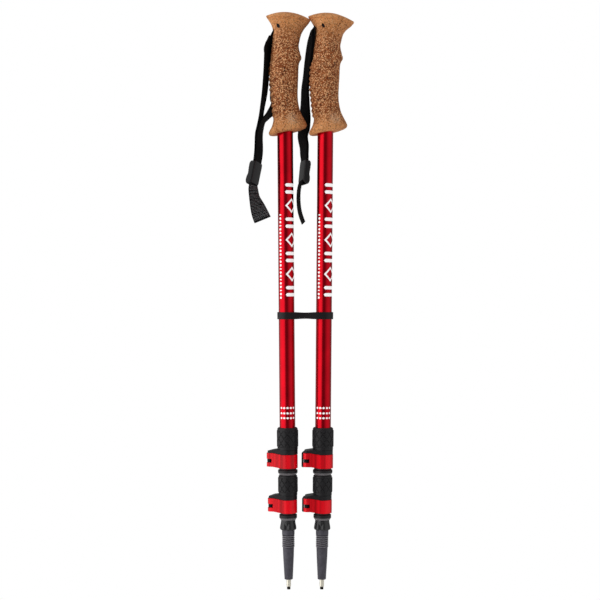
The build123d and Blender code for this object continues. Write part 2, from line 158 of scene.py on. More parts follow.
def cut(piece, *cutters):
    """Take the cutters out of a piece, and drop them."""
    for cutter in cutters:
        modifier = piece.modifiers.new("cut", "BOOLEAN")
        modifier.operation = "DIFFERENCE"
        modifier.solver = "EXACT"
        modifier.object = cutter
    bpy.context.view_layer.update()
    result = bpy.data.meshes.new_from_object(piece.evaluated_get(bpy.context.evaluated_depsgraph_get()))
    piece.modifiers.clear()
    piece.data = result
    for cutter in cutters:
        bpy.data.objects.remove(cutter)


def cutter_of(mesh):
    """A mesh as an object that a cut uses up."""
    cutter = bpy.data.objects.new("cutter", mesh)
    bpy.context.scene.collection.objects.link(cutter)
    return cutter


# Materials


class Paint:
    """A procedural material, made of a Principled shader and the nodes that feed it."""

    def __init__(self, name, color, roughness, metallic=0.0, coat=0.0):
        self.material = bpy.data.materials.new(name)
        self.material.use_nodes = True
        self.nodes = self.material.node_tree.nodes
        self.links = self.material.node_tree.links
        self.shader = self.nodes["Principled BSDF"]
        self.set("Base Color", (*color, 1))
        self.set("Roughness", roughness)
        self.set("Metallic", metallic)
        self.set("Coat Weight", coat)
        self.coordinates = self.nodes.new("ShaderNodeTexCoord").outputs["Object"]
        self.height = None

    def set(self, socket, value):
        self.shader.inputs[socket].default_value = value

    def feed(self, socket, output):
        self.links.new(output, self.shader.inputs[socket])

    def stretched(self, scale):
        """Object coordinates scaled by axis, for grain that runs one way."""
        mapping = self.nodes.new("ShaderNodeMapping")
        mapping.inputs["Scale"].default_value = scale
        self.links.new(self.coordinates, mapping.inputs["Vector"])
        return mapping.outputs["Vector"]

    def noise(self, scale, detail=3.0, vector=None):
        node = self.nodes.new("ShaderNodeTexNoise")
        node.inputs["Scale"].default_value = scale
        node.inputs["Detail"].default_value = detail
        self.links.new(vector or self.coordinates, node.inputs["Vector"])
        return node.outputs["Fac"]

    def cells(self, scale, output="Color"):
        node = self.nodes.new("ShaderNodeTexVoronoi")
        node.inputs["Scale"].default_value = scale
        self.links.new(self.coordinates, node.inputs["Vector"])
        return node.outputs[output]

    def ramp(self, value, *stops):
        """Colours at places along a value."""
        node = self.nodes.new("ShaderNodeValToRGB")
        node.color_ramp.elements[0].position = stops[0][0]
        node.color_ramp.elements[0].color = (*stops[0][1], 1)
        node.color_ramp.elements[1].position = stops[-1][0]
        node.color_ramp.elements[1].color = (*stops[-1][1], 1)
        for place, color in stops[1:-1]:
            node.color_ramp.elements.new(place).color = (*color, 1)
        self.links.new(value, node.inputs["Fac"])
        return node.outputs["Color"]

    def range(self, value, low, high, start=0.0, end=1.0):
        """A value from low to high mapped onto start to end."""
        node = self.nodes.new("ShaderNodeMapRange")
        for socket, number in (("From Min", low), ("From Max", high), ("To Min", start), ("To Max", end)):
            node.inputs[socket].default_value = number
        self.links.new(value, node.inputs["Value"])
        return node.outputs["Result"]

    def maths(self, operation, a, b):
        node = self.nodes.new("ShaderNodeMath")
        node.operation = operation
        for socket, value in zip(node.inputs, (a, b)):
            if isinstance(value, (int, float)):
                socket.default_value = value
            else:
                self.links.new(value, socket)
        return node.outputs["Value"]

    def mix(self, factor, a, b, blend="MIX"):
        node = self.nodes.new("ShaderNodeMix")
        node.data_type = "RGBA"
        node.blend_type = blend
        for socket, value in zip((node.inputs["Factor"], node.inputs[6], node.inputs[7]), (factor, a, b)):
            if isinstance(value, tuple):
                socket.default_value = (*value, 1)
            elif isinstance(value, (int, float)):
                socket.default_value = value
            else:
                self.links.new(value, socket)
        return node.outputs[2]

    def bump(self, height, distance, strength=1.0):
        node = self.nodes.new("ShaderNodeBump")
        node.inputs["Distance"].default_value = distance
        node.inputs["Strength"].default_value = strength
        self.links.new(height, node.inputs["Height"])
        if self.height:
            self.links.new(self.height, node.inputs["Normal"])
        self.height = node.outputs["Normal"]
        self.feed("Normal", self.height)


# Rubbed spots on the near face of each grip's foot, in metres in the model.
SCUFFS = ((-0.0150, -0.0145, 0.0185), (0.0335, -0.0145, 0.0185))
SCUFF_REACH, SCUFF_CORE, SCUFF_STRENGTH = 0.0085, 0.002, 0.65
# The heights in metres where the cork turns tan, under the rim and above the foot.
TAN_TOP = (0.105, 0.130)
TAN_FOOT = (0.028, 0.008)
GRANULES = 980.0


def scuff(paint, spot):
    """How rubbed the cork is round a spot, broken up by the grain."""
    away = paint.nodes.new("ShaderNodeVectorMath")
    away.operation = "DISTANCE"
    away.inputs[1].default_value = spot
    paint.links.new(paint.coordinates, away.inputs[0])
    near = paint.range(away.outputs["Value"], SCUFF_REACH, SCUFF_CORE)
    patchy = paint.range(paint.noise(900.0, 3.0), 0.42, 0.62)
    return paint.maths("MULTIPLY", paint.maths("MULTIPLY", near, patchy), SCUFF_STRENGTH)


def cork_material():
    """Pressed cork: tan, with light and dark granules that thin out towards the moulded ends."""
    paint = Paint("cork", (0.39, 0.17, 0.07), 0.72)
    split = paint.nodes.new("ShaderNodeSeparateXYZ")
    paint.links.new(paint.coordinates, split.inputs["Vector"])
    height = split.outputs["Z"]
    top, foot = paint.range(height, *TAN_TOP), paint.range(height, *TAN_FOOT)
    ends = paint.maths("MINIMUM", paint.maths("ADD", top, foot), 1.0)
    wander = paint.noise(90.0, 2.0)
    brown = ((0.3, (0.265, 0.066, 0.016)), (0.5, (0.350, 0.092, 0.023)), (0.72, (0.47, 0.140, 0.042)))
    base = paint.ramp(wander, *brown)
    tan = paint.ramp(wander, (0.3, (0.64, 0.240, 0.075)), (0.7, (0.92, 0.400, 0.145)))
    grain = paint.cells(GRANULES)
    tone = paint.nodes.new("ShaderNodeSeparateColor")
    paint.links.new(grain, tone.inputs["Color"])
    dark = paint.range(tone.outputs["Red"], 0.64, 0.90)
    light = paint.range(tone.outputs["Green"], 0.58, 0.90)
    fade = paint.range(ends, 0.0, 1.0, 1.0, 0.6)
    color = paint.mix(ends, base, tan)
    color = paint.mix(paint.maths("MULTIPLY", dark, fade), color, (0.070, 0.020, 0.008))
    color = paint.mix(paint.maths("MULTIPLY", light, fade), color, (1.0, 0.52, 0.24))
    for spot in SCUFFS:
        color = paint.mix(scuff(paint, spot), color, (1.0, 0.74, 0.50))
    fine = paint.noise(2600.0, 2.0)
    pits = paint.ramp(fine, (0.35, (0.25, 0.25, 0.25)), (0.65, (1.0, 1.0, 1.0)))
    color = paint.mix(0.30, color, pits, "MULTIPLY")
    paint.set("Specular IOR Level", 0.2)
    paint.feed("Base Color", color)
    paint.feed("Roughness", paint.range(fine, 0.3, 0.7, 0.6, 0.85))
    paint.bump(paint.cells(GRANULES, "Distance"), 0.00022, 0.7)
    paint.bump(fine, 0.00012, 0.6)
    return paint.material


def anodised(name, color, roughness):
    """Anodised aluminium with faint drawing lines along the tube."""
    paint = Paint(name, color, roughness, metallic=1.0, coat=0.1)
    paint.set("Coat Roughness", 0.15)
    lines = paint.noise(1.0, 4.0, paint.stretched((3800, 3800, 60)))
    paint.feed("Roughness", paint.range(lines, 0.3, 0.7, roughness - 0.03, roughness + 0.05))
    tint = paint.noise(60.0, 2.0)
    darker = tuple(0.86 * part for part in color)
    paint.feed("Base Color", paint.ramp(tint, (0.35, darker), (0.65, color)))
    paint.bump(lines, 0.000012, 0.12)
    return paint.material


def lever_material():
    """Red lacquer with upright streaks of painted reflection in its colour, and a faint glow for the light
    that the other parts throw on it.
    """
    paint = Paint("lever_red", (0.86, 0.004, 0.012), 0.24, metallic=0.12)
    paint.set("Specular IOR Level", 0.25)
    paint.set("Emission Color", (1.0, 0.002, 0.012, 1))
    paint.set("Emission Strength", 0.09)
    # Painted reflection: upright streaks of darker and lighter red in the base colour stand in for the
    # studio's reflections on the lever.
    painted_reflection_streaks = paint.noise(1.0, 2.0, paint.stretched((240, 240, 4)))
    shaded_red, bright = (0.44, 0.001, 0.006), (0.98, 0.005, 0.016)
    paint.feed("Base Color", paint.ramp(painted_reflection_streaks, (0.38, shaded_red), (0.60, bright)))
    paint.bump(paint.noise(900.0, 3.0), 0.00002, 0.3)
    return paint.material


def plastic(name, color, roughness, grain=0.00004, shine=0.3):
    """Moulded plastic with a fine spark-eroded grain and slightly varied gloss."""
    paint = Paint(name, color, roughness)
    paint.set("Specular IOR Level", shine)
    fine = paint.noise(3200.0, 2.0)
    lighter = tuple(1.35 * part for part in color)
    paint.feed("Base Color", paint.ramp(paint.noise(260.0), (0.35, color), (0.7, lighter)))
    paint.feed("Roughness", paint.range(fine, 0.3, 0.7, roughness - 0.08, roughness + 0.08))
    paint.bump(fine, grain, 0.5)
    return paint.material


def glowing_ink_material():
    """White print with a painted glow, which keeps it light where it lies on the tube's shaded side."""
    paint = Paint("white_ink", (0.9, 0.9, 0.9), 0.5)
    # Painted light: the print glows a little so that it stays white on the shaded side of the tube.
    paint.set("Emission Color", (1, 1, 1, 1))
    paint.set("Emission Strength", 0.38)
    return paint.material


def webbing_material(name, light, sheen):
    """Black polyester webbing: matt yarn with a soft sheen."""
    paint = Paint(name, (0.006, 0.006, 0.007), 0.85)
    paint.set("Sheen Weight", sheen)
    paint.set("Sheen Roughness", 0.4)
    paint.set("Specular IOR Level", 0.12)
    yarn = paint.noise(4200.0, 2.0)
    shaded, lit = (0.2 * light, 0.2 * light, 0.24 * light), (light, light, 1.1 * light)
    paint.feed("Base Color", paint.ramp(yarn, (0.35, shaded), (0.7, lit)))
    paint.bump(yarn, 0.00008, 0.6)
    return paint.material


def metal(name, color, roughness):
    """Bare or blackened metal with uneven wear."""
    paint = Paint(name, color, roughness, metallic=1.0)
    wear = paint.noise(700.0, 4.0)
    paint.feed("Roughness", paint.range(wear, 0.3, 0.7, roughness - 0.08, roughness + 0.12))
    paint.feed("Base Color", paint.ramp(wear, (0.3, tuple(0.75 * part for part in color)), (0.6, color)))
    paint.bump(wear, 0.00002, 0.4)
    return paint.material


MATERIALS = {
    "cork": cork_material(),
    "red_anodised": anodised("red_anodised", (0.66, 0.003, 0.014), 0.24),
    "dark_anodised": anodised("dark_anodised", (0.09, 0.09, 0.10), 0.3),
    "lever_red": lever_material(),
    "black_plastic": plastic("black_plastic", (0.0105, 0.0095, 0.011), 0.45),
    "grey_plastic": plastic("grey_plastic", (0.072, 0.068, 0.084), 0.42),
    "webbing": webbing_material("webbing", 0.004, 0.02),
    # A lighter, glossier copy of the same webbing for the left tail: painted sheen where that tail catches
    # more light.
    "tail_webbing": webbing_material("tail_webbing", 0.018, 0.1),
    "steel": metal("steel", (0.62, 0.61, 0.60), 0.28),
    "dark_steel": metal("dark_steel", (0.014, 0.014, 0.016), 0.5),
    "holder_steel": metal("holder_steel", (0.95, 0.90, 0.76), 0.38),
    "collar_plastic": plastic("collar_plastic", (0.009, 0.009, 0.010), 0.24, 0.00003, 0.6),
    "buckle_plastic": plastic("buckle_plastic", (0.0055, 0.0050, 0.0060), 0.35, 0.00003, 0.3),
    # Paler grey for the tip's ribs: painted highlight on the ribs, lighter than the tip's own grey plastic.
    "lit_rib_plastic": plastic("lit_rib_plastic", (0.19, 0.18, 0.205), 0.4),
    # A lighter grey for the lips' undersides: painted highlight, not the plastic's own colour.
    "lip_highlight_plastic": plastic("lip_highlight_plastic", (0.15, 0.138, 0.145), 0.3, 0.00003, 0.5),
    "carbide": metal("carbide", (0.03, 0.027, 0.024), 0.4),
    "rubber": plastic("rubber", (0.006, 0.005, 0.006), 0.45, 0.00006, 0.3),
    "white_ink": glowing_ink_material(),
    "thread": plastic("thread", (0.03, 0.03, 0.032), 0.6),
    # Light grey dots on the left tail's picks: painted highlights on the weave, not grey yarn.
    "pick_highlights": plastic("pick_highlights", (0.30, 0.30, 0.31), 0.7),
}


# Grips: rear x and height, front x and height, and half depth of each ring, from the mouth up to the rim.
GRIP_RINGS = (
    (-9.4, 523.0, 9.4, 523.6, 9.4),
    (-12.4, 520.2, 13.5, 524.4, 12.8),
    (-15.8, 519.2, 19.8, 526.4, 16.0),
    (-17.9, 519.9, 23.8, 528.4, 17.5),
    (-18.7, 521.9, 25.0, 531.0, 18.0),
    (-17.7, 524.8, 24.0, 534.0, 17.7),
    (-15.4, 529.0, 22.0, 537.6, 16.9),
    (-13.5, 535.5, 19.2, 543.0, 15.9),
    (-13.4, 541.5, 16.9, 549.0, 15.3),
    (-14.6, 553.0, 15.0, 559.0, 15.1),
    (-16.2, 568.0, 14.8, 571.0, 15.5),
    (-17.2, 583.0, 15.5, 584.0, 15.9),
    (-17.0, 595.0, 15.9, 596.0, 15.9),
    (-16.5, 602.5, 16.9, 602.5, 15.7),
    (-16.0, 607.0, 19.4, 607.6, 15.7),
    (-15.6, 611.5, 18.2, 612.3, 15.4),
    (-14.7, 620.0, 16.4, 621.0, 15.2),
    (-13.6, 630.0, 17.6, 628.6, 15.5),
    (-13.0, 638.0, 19.8, 636.0, 16.2),
    (-14.3, 645.0, 23.6, 642.2, 17.0),
    (-17.2, 650.4, 27.6, 646.8, 17.6),
    (-19.5, 653.6, 29.4, 649.4, 17.9),
    (-20.7, 655.8, 30.1, 651.0, 18.0),
)
RING_POINTS = 128
RING_STEP = 0.8
RIM_SHRINK = (0.985, 0.96, 0.92, 0.86, 0.78, 0.67, 0.54, 0.40, 0.26, 0.12)
DOME_HEIGHT = 6.6
BORE_RADIUS, BORE_TOP, BORE_MOUTH = 9.2, 536.0, 523.9
RIB_LOW, RIB_HIGH, RIB_PITCH, RIB_DEPTH, RIB_FADE = 538.0, 604.0, 6.1, 1.25, 5.0
PALM_SWELL = {"left": 0.0, "right": 1.2}
HORN_DROOP = {"left": 0.0, "right": 1.0}
LEDGE_DROP, LEDGE_DEPTH, LEDGE_WIDTH = 2.7, 0.75, 0.45
STRAP_PIN = (-7.4, 644.8)
PIN_RECESS = {"left": (-6.6, 642.2), "right": (-3.6, 642.2)}
RECESS_FLOOR, RECESS_TURN = 13.0, math.radians(28)
RECESS_HALF_WIDTH, RECESS_HALF_HEIGHT = 1.5, 2.7
STRAP_MOUTH = {"left": (-14.0, 635.6), "right": (-14.6, 642.2)}
SLOT_HALF_WIDTH = 6.4


def rim_height(x):
    """The slanted rim's height over a place from the rear of the grip to its front."""
    return 655.8 - 4.8 * (x + 20.7) / 50.8


def grip_ring(name, rear_x, rear_z, front_x, front_z, depth):
    """The points of a tilted ring, with the palm's ribs, the ledge under the rim and an uneven skin."""
    points = []
    centre, reach = (rear_x + front_x) / 2, (front_x - rear_x) / 2
    for angle in turns(RING_POINTS):
        x, y = centre + reach * math.cos(angle), depth * math.sin(angle)
        z = rear_z + (front_z - rear_z) * (x - rear_x) / (front_x - rear_x)
        palm = smoothstep(0.35, 0.8, -math.cos(angle)) * smoothstep(RIB_LOW, RIB_LOW + RIB_FADE, z)
        palm *= 1 - smoothstep(RIB_HIGH - RIB_FADE, RIB_HIGH, z)
        swell = palm * (PALM_SWELL[name] + RIB_DEPTH * math.sin(math.pi * (z - RIB_LOW) / RIB_PITCH) ** 2)
        drop = rim_height(x) - z
        swell -= LEDGE_DEPTH * math.exp(-(((drop - LEDGE_DROP) / LEDGE_WIDTH) ** 2))
        swell += 0.16 * noise.noise(Vector((x, y, z)) * 0.55) + 0.10 * noise.noise(Vector((x, y, z)) * 1.3)
        droop = HORN_DROOP[name] * smoothstep(634, 651, z)
        horn = droop * smoothstep(6, 29, x)
        x += swell * math.cos(angle) + 1.7 * horn
        points.append((x, y + swell * math.sin(angle), z - 0.8 * droop - 1.2 * horn))
    return points


def grip_piece(pole):
    """The cork grip, from its bore to its mouth and up over the dome, cut for the strap and its pin."""
    rings = [circle(BORE_RADIUS, z, RING_POINTS) for z in (BORE_TOP, BORE_MOUTH)]
    rings += [grip_ring(pole.name, *ring) for ring in curve_through(GRIP_RINGS, RING_STEP)]
    rear_x, rear_z, front_x, front_z, depth = GRIP_RINGS[-1]
    centre, middle = (rear_x + front_x) / 2, (rear_z + front_z) / 2
    for share in RIM_SHRINK:
        reach = (front_x - rear_x) / 2 * share
        fall = (front_z - rear_z) / 2 * share
        rise = DOME_HEIGHT * (1 - share**2)
        rear, front = (centre - reach, middle - fall), (centre + reach, middle + fall)
        ring = grip_ring(pole.name, *rear, *front, depth * share)
        rings.append([(x, y, z + rise) for x, y, z in ring])
    mesh = rings_mesh(f"{pole.name}_cork_grip", pole.place, rings)
    piece = finished(mesh.name, mesh, MATERIALS["cork"], None)
    recesses = [cutter_of(recess_oval(pole, 1.0, side * RECESS_FLOOR, side * 22)) for side in (-1, 1)]
    cut(piece, slot_cutter(pole), *recesses)
    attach(piece, "upper_sections")
    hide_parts(f"{pole.name}_grip")


def slot_cutter(pole):
    """The slanted slot that the strap comes out of, from the pin to the palm side."""
    pin, mouth = Vector(STRAP_PIN), Vector(STRAP_MOUTH[pole.name])
    run = (mouth - pin).normalized()
    side = Vector((-run.y, run.x))
    start, end = pin - run * 1.5, mouth + run * 14.0
    outline = [start - side * 1.6, start + side * 1.6, end + side * 1.8, end - side * 1.8]
    rings = [[(x, y, z) for x, z in outline] for y in (-SLOT_HALF_WIDTH, SLOT_HALF_WIDTH)]
    return cutter_of(rings_mesh("slot", pole.place, rings))


def recess_oval(pole, size, near, far):
    """A tilted oval prism over the strap pin, between two depths across the grip."""
    middle_x, middle_z = PIN_RECESS[pole.name]
    lean_x, lean_z = math.sin(RECESS_TURN), math.cos(RECESS_TURN)
    rings = []
    for y in (near, far):
        ring = []
        for a in turns(32):
            u, v = RECESS_HALF_WIDTH * size * math.cos(a), RECESS_HALF_HEIGHT * size * math.sin(a)
            ring.append((middle_x + u * lean_z - v * lean_x, y, middle_z + u * lean_x + v * lean_z))
        rings.append(ring)
    return rings_mesh(f"{pole.name}_pin_cap", pole.place, rings)


def pin_ends_and_recess_shade(pole):
    """Dark discs at the bottom of the recesses: the strap pin's two ends, with painted shade over the rest
    of each recess floor.
    """
    for side, place in ((-1, "near"), (1, "far")):
        mesh = recess_oval(pole, 1.1, side * (RECESS_FLOOR - 1), side * (RECESS_FLOOR + 0.1))
        # Painted shade: black plastic laid over the recess floor, round the pin's end.
        pin_end_and_shade = MATERIALS["black_plastic"]
        finished(f"{mesh.name}_{place}", mesh, pin_end_and_shade, "upper_sections")


# Straps: the webbing's centre line, x, y and height, and its width's twist from Y towards X, in degrees.
OUTER_STRAND = {
    "left": (
        (-9.3, 0, 642.2, 9),
        (-11.4, 0, 638.6, 9),
        (-13.6, 0, 634.6, 9),
        (-16.4, 0, 628.7, 11),
        (-18.4, -0.3, 624.5, 13),
        (-19.4, -0.5, 621, 14),
        (-19.9, -1, 614.5, 15),
        (-20.2, -1, 605, 16),
        (-20.9, -1, 592, 16),
        (-22.7, -1, 571, 15),
        (-26.1, 0, 550, 10),
        (-27.8, 1, 539, 11),
        (-29.6, 2, 529, 14),
        (-31.2, 2.5, 520, 16),
        (-31.5, 2.5, 502, 20),
        (-33.4, 2, 488, 19),
        (-37.2, 1.5, 470, 19),
    ),
    "right": (
        (-9.8, 0, 643.9, -6),
        (-12.2, 0, 643.1, -6),
        (-14.8, 0, 641.6, -7),
        (-16.7, 0, 637.4, -14),
        (-19.0, 1, 622, -18),
        (-21.0, 2.5, 605, -19),
        (-22.8, 5, 588, -18),
        (-24.3, 8.5, 574, -19),
        (-24.2, 12, 557, -24),
        (-24.3, 14.5, 541, -34),
        (-25.3, 15, 528, -36),
        (-26.3, 12.5, 518, -27),
        (-24.9, 10, 508, -24),
        (-24.7, 9.5, 500, -22),
        (-24.3, 9, 490, -18),
        (-25.9, 8.5, 472, -15),
    ),
}
INNER_STRAND_LEFT = (
    (-15.8, 0, 630.4, 10),
    (-16.8, 0.4, 628.0, 14),
    (-18.0, 5, 621, 30),
    (-14.5, 12.5, 611, 55),
    (-9.5, 18, 600, 80),
    (-6.5, 18.8, 585, 88),
    (-8.0, 18.2, 570, 70),
    (-12.2, 15.2, 556, 34),
    (-15.6, 10.5, 550, 18),
    (-20.6, 5.5, 542.5, 11),
    (-24.4, 3.4, 537, 10),
    (-27.1, 2.4, 530, 13),
    (-29.0, 2.2, 520, 16),
    (-29.6, 1.9, 502, 20),
    (-31.5, 1.5, 488, 19),
    (-35.3, 1.0, 470, 19),
)
STRAP_TAIL = {
    "left": (
        (-35.6, 1.4, 474, 20),
        (-36.7, 1.2, 467, 22),
        (-36.9, 1, 458, 30),
        (-35.6, 0.8, 449, 36),
        (-32.6, 0.4, 439.5, 56),
        (-29.6, 0, 430.5, 75),
        (-26.5, 0, 422.8, 88),
    ),
    "right": (
        (-25.3, 8.5, 475, -14),
        (-26.5, 8.3, 469.5, -13),
        (-29.0, 8, 462, -11),
        (-30.2, 7.7, 452, -10.5),
        (-29.8, 7.2, 440, -10.5),
        (-28.0, 7, 430, -11),
        (-24.2, 6.5, 419.3, -11),
    ),
}
STRAND_GAP = 1.9
WEB_STEP = 0.34
GATHER, GATHERED_TO, SPREAD_FROM = 0.42, 9.0, 22.0
PICK_LENGTH, PICK_WIDTH = 1.25, 1.8
THREAD_HALF = (0.75, 0.22, 0.2)


def across_and_out(run, twist):
    """The webbing's width direction and its outward normal, for a run and a twist."""
    turn = math.radians(twist)
    across = Vector((math.sin(turn), math.cos(turn), 0))
    across = (across - run * across.dot(run)).normalized()
    return across, across.cross(run).normalized()


def web_frames(route, step):
    """The centre, width direction, normal and distance along of each of the webbing's sections."""
    path = curve_through(route, step)
    found = []
    along = 0.0
    for i, point in enumerate(path):
        before, after = Vector(path[max(i - 1, 0)][:3]), Vector(path[min(i + 1, len(path) - 1)][:3])
        if i:
            along += math.dist(point[:3], path[i - 1][:3])
        across, normal = across_and_out((after - before).normalized(), point[3])
        found.append((Vector(point[:3]), across, normal, along))
    return found


def web_profile():
    """Half turns of the webbing's section: width and thickness shares, with rounded edges."""
    flat = 22
    edge = WEB_THICKNESS / 2
    half = WEB_WIDTH / 2 - edge
    top = [(-half + 2 * half * i / flat, 1.0) for i in range(flat + 1)]
    right = [(half + edge * math.sin(a), math.cos(a)) for a in (math.pi / 4, math.pi / 2, 3 * math.pi / 4)]
    below = [(-u, -w) for u, w in top]
    left = [(-u, -w) for u, w in right]
    return top + right + below + left


def webbing(name, pole, route, body, gathered=0.0, look="webbing", relief=0.10):
    """Ribbed webbing along a route, with its weft rows as low ridges that step from warp to warp."""
    rings = []
    for centre, across, normal, along in web_frames(route, WEB_STEP):
        width = 1 - gathered * (1 - smoothstep(GATHERED_TO, SPREAD_FROM, along))
        ring = []
        for u, w in web_profile():
            pick = relief * math.cos(2 * math.pi * along / PICK_LENGTH + math.pi * round(u / PICK_WIDTH))
            fuzz = 0.05 * noise.noise(Vector((u * 0.9, along * 0.25, 3.0)))
            thick = (WEB_THICKNESS / 2 - 0.1 + pick + fuzz) * w
            ring.append(tuple(centre + across * u * width + normal * thick))
        rings.append(ring)
    return finished(name, rings_mesh(name, pole.place, rings), MATERIALS[look], body)


def moved_aside(route, distance):
    """A route beside another, at a distance along its normal."""
    found = []
    for x, y, z, twist in route:
        turn = math.radians(twist)
        found.append((x + distance * math.cos(turn), y - distance * math.sin(turn), z, twist))
    return found


def thread_shape():
    """The corners and faces of a ball, which stitches stretch into threads."""
    ball = bmesh.new()
    bmesh.ops.create_uvsphere(ball, u_segments=8, v_segments=6, radius=1.0)
    ball.verts.index_update()
    corners = [tuple(vertex.co) for vertex in ball.verts]
    faces = [[vertex.index for vertex in face.verts] for face in ball.faces]
    ball.free()
    return corners, faces


def stitches(name, pole, route, start, rows, columns, face, body, look="thread", pitch=2.2, spread=1.9):
    """Rows of short threads that stand just proud of the webbing's face."""
    frames = web_frames(route, 0.5)
    corners, ball_faces = thread_shape()
    points, faces = [], []
    for row in range(rows):
        centre, across, normal, _ = min(frames, key=lambda f: abs(f[3] - start - row * pitch))
        run = normal.cross(across)
        for column in range(columns):
            u = (column - (columns - 1) / 2 + 0.25 * (-1) ** row) * spread
            middle = centre + across * u + normal * face * (WEB_THICKNESS / 2 + 0.02)
            faces += [[len(points) + k for k in corner_ids] for corner_ids in ball_faces]
            for corner in corners:
                x, y, z = (half * part for half, part in zip(THREAD_HALF, corner))
                points.append(pole.place(*(middle + across * x + run * y + normal * z)))
    mesh = bpy.data.meshes.new(name)
    mesh.from_pydata(points, [], faces)
    return finished(name, mesh, MATERIALS[look], body)


def rounded_box_ring(half_width, low, high, corner, count=9):
    """A rounded rectangle from -half_width to half_width and from low to high."""
    points = []
    corner = min(corner, (high - low) / 2 - 0.01)
    for u, w, start in (
        (half_width - corner, high - corner, 0),
        (-half_width + corner, high - corner, 90),
        (-half_width + corner, low + corner, 180),
        (half_width - corner, low + corner, 270),
    ):
        for i in range(count):
            a = math.radians(start + 90 * i / (count - 1))
            points.append((u + corner * math.cos(a), w + corner * math.sin(a)))
    return points


# The adjuster along its length: distance, half width, back and front of its section.
BUCKLE_STATIONS = (
    (0.0, 11.0, -2.25, 2.6),
    (0.8, 11.9, -2.4, 3.8),
    (4.0, 12.4, -2.45, 4.7),
    (10.0, 12.4, -2.45, 4.4),
    (15.0, 12.4, -2.45, 4.1),
    (19.0, 12.4, -2.45, 5.0),
    (22.0, 12.4, -2.45, 5.2),
    (24.6, 12.2, -2.4, 4.0),
    (25.8, 11.4, -2.25, 2.7),
)
BUCKLE_SLANT, BUCKLE_CORNER = 0.5, 1.6
BUCKLE_HOLE = (10.7, -2.05, 2.05, 0.8)
FINGER_RIDGE, FINGER_PITCH = 0.3, 2.6


def buckle_piece(pole, route, inner, outward):
    """A tapered sleeve that locks the webbing, thickest near its lower end, with finger ridges."""
    ends = [(Vector(route[i][:3]) + Vector(inner[i][:3])) / 2 for i in (-2, -1)]
    run = (ends[1] - ends[0]).normalized()
    across, normal = across_and_out(run, route[-1][3])
    start = ends[0] - run
    outer_rings, inner_rings = [], []
    for along, half_width, back, front in curve_through(BUCKLE_STATIONS, 0.8):
        ridge = FINGER_RIDGE * max(0.0, math.sin(2 * math.pi * (along - 8) / FINGER_PITCH))
        ridge *= smoothstep(7.5, 8.5, along) * (1 - smoothstep(16.0, 17.0, along))
        ring = rounded_box_ring(half_width, back, front + ridge, BUCKLE_CORNER)
        hole = rounded_box_ring(*BUCKLE_HOLE)
        for section, found in ((ring, outer_rings), (hole, inner_rings)):
            placed = []
            for u, w in section:
                slid = along + BUCKLE_SLANT * w * smoothstep(18.0, 26.0, along)
                placed.append(tuple(start + run * slid + across * u + normal * w * outward))
            found.append(placed)
    rings = outer_rings + inner_rings[::-1]
    mesh = rings_mesh(f"{pole.name}_adjuster", pole.place, rings, closed=True)
    piece = finished(mesh.name, mesh, MATERIALS["buckle_plastic"], f"{pole.name}_strap")
    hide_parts(f"{pole.name}_strap_buckle")


def strap_pieces(pole):
    """One strap: two strands, the tail, their stitching and the adjuster."""
    name, body = pole.name, f"{pole.name}_strap"
    outer = OUTER_STRAND[name]
    inner = INNER_STRAND_LEFT if name == "left" else moved_aside(outer[2:], STRAND_GAP)
    upper = webbing(f"{name}_outer_webbing", pole, outer, None, GATHER)
    mouth, free = pole.place(*outer[1][:3]), pole.place(*outer[3][:3])
    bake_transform(upper)
    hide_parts(f"{name}_strap_loop", f"{name}_strap_anchor")
    webbing(f"{name}_inner_webbing", pole, inner, body)
    # The left tail gets the lighter copy of the webbing as painted sheen; the right tail keeps the plain
    # webbing.
    tail_look = "tail_webbing" if name == "left" else "webbing"
    tail = webbing(f"{name}_tail_webbing", pole, STRAP_TAIL[name], body, look=tail_look, relief=0.20)
    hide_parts(f"{name}_strap_tail")
    stitches(f"{name}_loop_tacks", pole, outer, 128.0, 4, 9, -1, body)
    stitches(f"{name}_tail_tacks", pole, STRAP_TAIL[name], 50.0, 1, 9, 1, body)
    stitches(f"{name}_tail_tacks_back", pole, STRAP_TAIL[name], 50.0, 1, 9, -1, body)
    if name == "left":
        # Painted highlights: rows of light grey dots on the left tail's picks, where the weave catches
        # light.
        pick_highlights = {"look": "pick_highlights", "pitch": 1.6, "spread": 1.7}
        for face, side in ((1, "near"), (-1, "far")):
            stitches(f"left_tail_picks_{side}", pole, STRAP_TAIL[name], 12.0, 25, 11, face, body, **pick_highlights)
    buckle_piece(pole, outer, inner, 1 if name == "left" else -1)


# Diamond pads on the clamps' sleeves.
SLEEVES = {
    "upper": {"radius": 11.65, "low": 163.0, "high": 182.6, "count": 10, "body": "upper_sections"},
    "lower": {"radius": 10.70, "low": 111.2, "high": 128.6, "count": 10, "body": "middle_section"},
}
PAD_REPEAT = 10.0
PAD_HEIGHT, PAD_SINK, PAD_EDGE = 0.6, 0.15, 0.7
PAD_ROWS, PAD_COLUMNS = 72, 288


def diamond_sleeve(pole, level, radius, low, high, count, body):
    """A thin skin of raised diamonds round a sleeve. Its grooves lie just under the sleeve's surface."""
    rings = []
    for row in range(PAD_ROWS + 1):
        z = low + (high - low) * row / PAD_ROWS
        edge = smoothstep(low, low + PAD_EDGE, z) * (1 - smoothstep(high - PAD_EDGE, high, z))
        ring = []
        for column in range(PAD_COLUMNS):
            turn = column / PAD_COLUMNS
            a = turn * count + (z - low) / PAD_REPEAT
            b = turn * count - (z - low) / PAD_REPEAT
            nearest = min(abs(a - round(a)), abs(b - round(b)))
            r = radius - PAD_SINK + (PAD_HEIGHT + PAD_SINK) * smoothstep(0.035, 0.10, nearest) * edge
            ring.append((r * math.cos(2 * math.pi * turn), r * math.sin(2 * math.pi * turn), z))
        rings.append(ring)
    inside = [[(x * 0.97, y * 0.97, z) for x, y, z in ring] for ring in (rings[-1], rings[0])]
    name = f"{pole.name}_{level}_sleeve_pads"
    mesh = rings_mesh(name, pole.place, rings + inside, closed=True)
    finished(name, mesh, MATERIALS["black_plastic"], body_of(pole, body))


